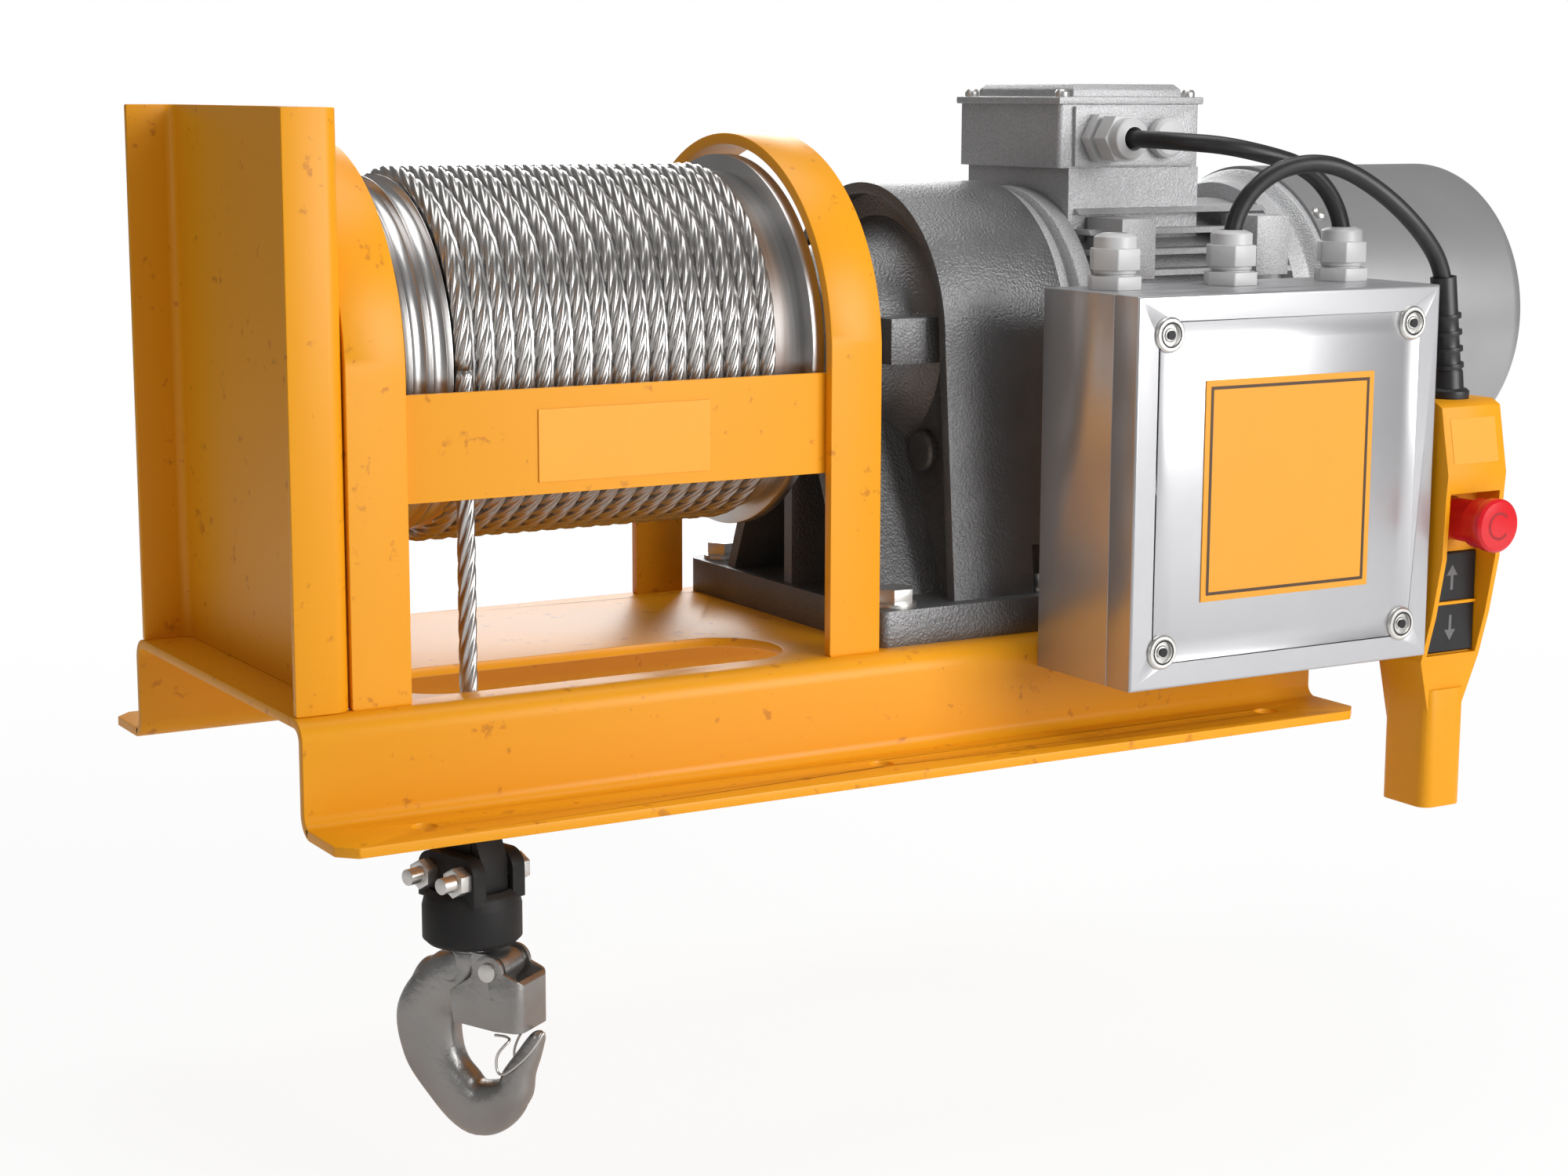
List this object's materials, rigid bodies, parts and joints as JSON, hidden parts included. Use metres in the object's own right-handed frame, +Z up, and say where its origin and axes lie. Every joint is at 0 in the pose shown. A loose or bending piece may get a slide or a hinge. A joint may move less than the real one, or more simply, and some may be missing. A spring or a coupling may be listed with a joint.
{
  "type": "elevator motor",
  "caption": "Electric wire-rope hoist: grooved rope drum, reduction gearbox, finned motor, switch box, hand pendant and swivel hook on a pressed base.",
  "frame": {"origin": "centre of the base's bolt pattern on the underside of its flanges", "axes": "+X along the drum shaft from the drum to the motor, +Y to the rear, +Z up"},
  "size_m": [0.789, 0.39, 0.514],
  "materials": {
    "frame_paint": "satin yellow-orange paint with scuffs",
    "bright_steel": "machined steel",
    "rope_wire": "stranded wire",
    "dark_casting": "grainy dark grey casting",
    "light_casting": "grainy light casting",
    "cowl_sheet": "satin grey sheet",
    "box_paint": "smooth near-white paint",
    "pale_plastic": "moulded",
    "black_plastic": "moulded",
    "black_rubber": "soft",
    "grey_plastic": "moulded",
    "yellow_plastic": "moulded",
    "red_plastic": "glossy",
    "black_paint": "satin black",
    "forged_steel": "forged",
    "zinc_plate": "zinc plated"
  },
  "bodies": {
    "root": {"base_frame": "frame_paint", "bearing_channel": "frame_paint", "left_hoop": "frame_paint", "right_hoop": "frame_paint", "front_panel": "frame_paint", "stub_axle": "bright_steel", "gearbox_housing": "dark_casting", "input_cover": "dark_casting", "output_bearings": "bright_steel", "intermediate_bearings": "bright_steel", "oil_plug": "dark_casting", "deck_bolts": "zinc_plate", "motor_frame": "light_casting", "front_shield": "light_casting", "rear_shield": "light_casting", "stator_core": "bright_steel", "motor_bearings": "bright_steel", "fan_cowl": "cowl_sheet", "motor_screws": "zinc_plate", "terminal_box": "light_casting", "terminal_lid": "light_casting", "terminal_gland": "pale_plastic", "blanking_plug": "pale_plastic", "enclosure_body": "box_paint", "enclosure_lid": "box_paint", "lid_locks": "black_plastic", "cable_glands": "pale_plastic", "enclosure_bracket": "frame_paint", "mounting_rail": "zinc_plate", "contactors": "grey_plastic", "pendant_body": "yellow_plastic", "pendant_boot": "black_rubber", "motor_cable": "black_rubber", "pendant_cable": "black_rubber", "rope_fall": "rope_wire"},
    "drum": {"drum_shell": "bright_steel", "drum_end_left": "bright_steel", "drum_end_right": "bright_steel", "drum_bearing": "bright_steel", "rope_wraps": "rope_wire", "rope_anchor": "zinc_plate", "output_shaft": "bright_steel", "output_gear": "bright_steel"},
    "intermediate": {"intermediate_shaft": "bright_steel", "intermediate_gear": "bright_steel"},
    "rotor": {"rotor_core": "bright_steel", "motor_shaft": "bright_steel", "cooling_fan": "black_plastic"},
    "hook_block": {"hook_bell": "black_paint", "bell_bolts": "zinc_plate", "rope_socket": "black_paint"},
    "hook": {"hook_forging": "forged_steel", "swivel_nut": "zinc_plate", "latch_pin": "zinc_plate", "latch_spring": "zinc_plate"},
    "latch": {"hook_latch": "forged_steel"},
    "stop_plunger": {"estop_stem": "black_plastic"},
    "stop_head": {"estop_head": "red_plastic"},
    "up_key": {"up_button": "black_plastic"},
    "down_key": {"down_button": "black_plastic"}
  },
  "joints": [
    {"name": "drum_spin", "type": "hinge", "parent": "root", "child": "drum", "pos_m": [-0.1365, 0, 0.209], "axis": [1, 0, 0], "range_deg": [0, 720]},
    {"name": "intermediate_spin", "type": "hinge", "parent": "root", "child": "intermediate", "pos_m": [0.11, 0, 0.146], "axis": [1, 0, 0], "range_deg": [-3060, 0]},
    {"name": "rotor_spin", "type": "hinge", "parent": "root", "child": "rotor", "pos_m": [0.25, 0, 0.209], "axis": [1, 0, 0], "range_deg": [0, 20308]},
    {"name": "hook_lift", "type": "slide", "parent": "root", "child": "hook_block", "axis": [0, 0, -1], "range_m": [0, 1.1248], "deforming": ["rope_fall"]},
    {"name": "hook_swivel", "type": "hinge", "parent": "hook_block", "child": "hook", "pos_m": [-0.203, -0.0895, -0.065], "axis": [0, 0, 1], "continuous": true},
    {"name": "latch_swing", "type": "hinge", "parent": "hook", "child": "latch", "pos_m": [-0.19349, -0.10359, -0.081], "axis": [0.829, 0.5592, 0], "range_deg": [0, 45], "stiffness_Nm_per_rad": 0.03, "springref_deg": -34.38},
    {"name": "stop_press", "type": "slide", "parent": "root", "child": "stop_plunger", "axis": [0, 1, 0], "range_m": [0, 0.004], "stiffness_N_per_m": 600, "springref_m": -0.003},
    {"name": "stop_twist", "type": "hinge", "parent": "stop_plunger", "child": "stop_head", "pos_m": [0.337, -0.215, 0.112], "axis": [0, 1, 0], "range_deg": [0, 45], "stiffness_Nm_per_rad": 0.05, "springref_deg": -11.46},
    {"name": "up_press", "type": "slide", "parent": "root", "child": "up_key", "axis": [0, 1, 0], "range_m": [0, 0.003], "stiffness_N_per_m": 500, "springref_m": -0.002},
    {"name": "down_press", "type": "slide", "parent": "root", "child": "down_key", "axis": [0, 1, 0], "range_m": [0, 0.003], "stiffness_N_per_m": 500, "springref_m": -0.002}
  ],
  "couplings": [
    {"joint": "intermediate_spin", "follows": "drum_spin", "ratio": -4.25},
    {"joint": "rotor_spin", "follows": "drum_spin", "ratio": 28.205},
    {"joint": "hook_lift", "follows": "drum_spin", "m_per_rad": 0.0895}
  ]
}
